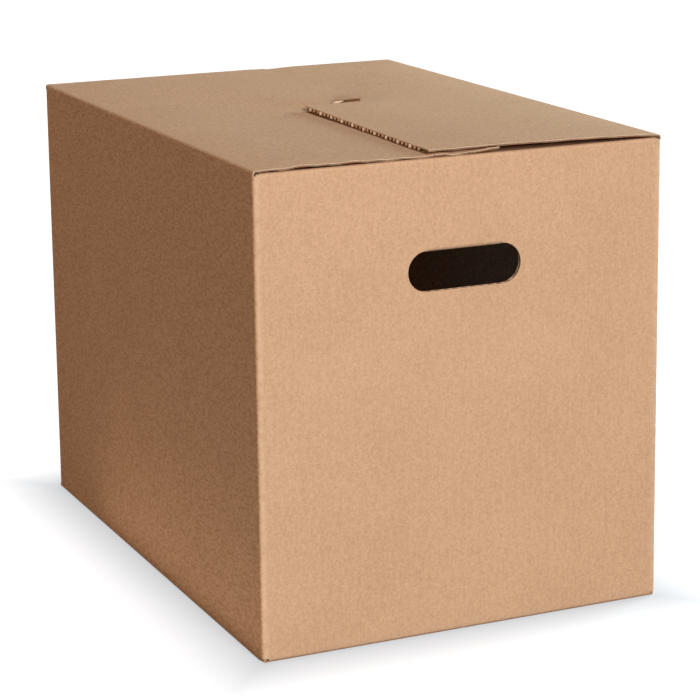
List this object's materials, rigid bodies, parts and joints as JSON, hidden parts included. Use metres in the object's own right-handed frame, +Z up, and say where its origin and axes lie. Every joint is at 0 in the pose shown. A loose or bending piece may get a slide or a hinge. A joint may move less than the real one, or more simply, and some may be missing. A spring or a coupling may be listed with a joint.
{
  "type": "moving box",
  "caption": "Tall corrugated kraft moving carton, closed by two top flaps halved together at a slit, with a slotted hand hole in each end wall.",
  "frame": {"origin": "under the middle of the box, at the level that it stands on", "axes": "+X across the end walls to the right, +Y along the box from the front end wall to the back one, +Z up"},
  "size_m": [0.345, 0.5, 0.3865],
  "materials": {
    "kraft_board": "matt natural kraft liner with fine fibre mottling; cut edges show the fluted medium"
  },
  "bodies": {
    "root": {"carton": "kraft_board"}
  },
  "joints": []
}
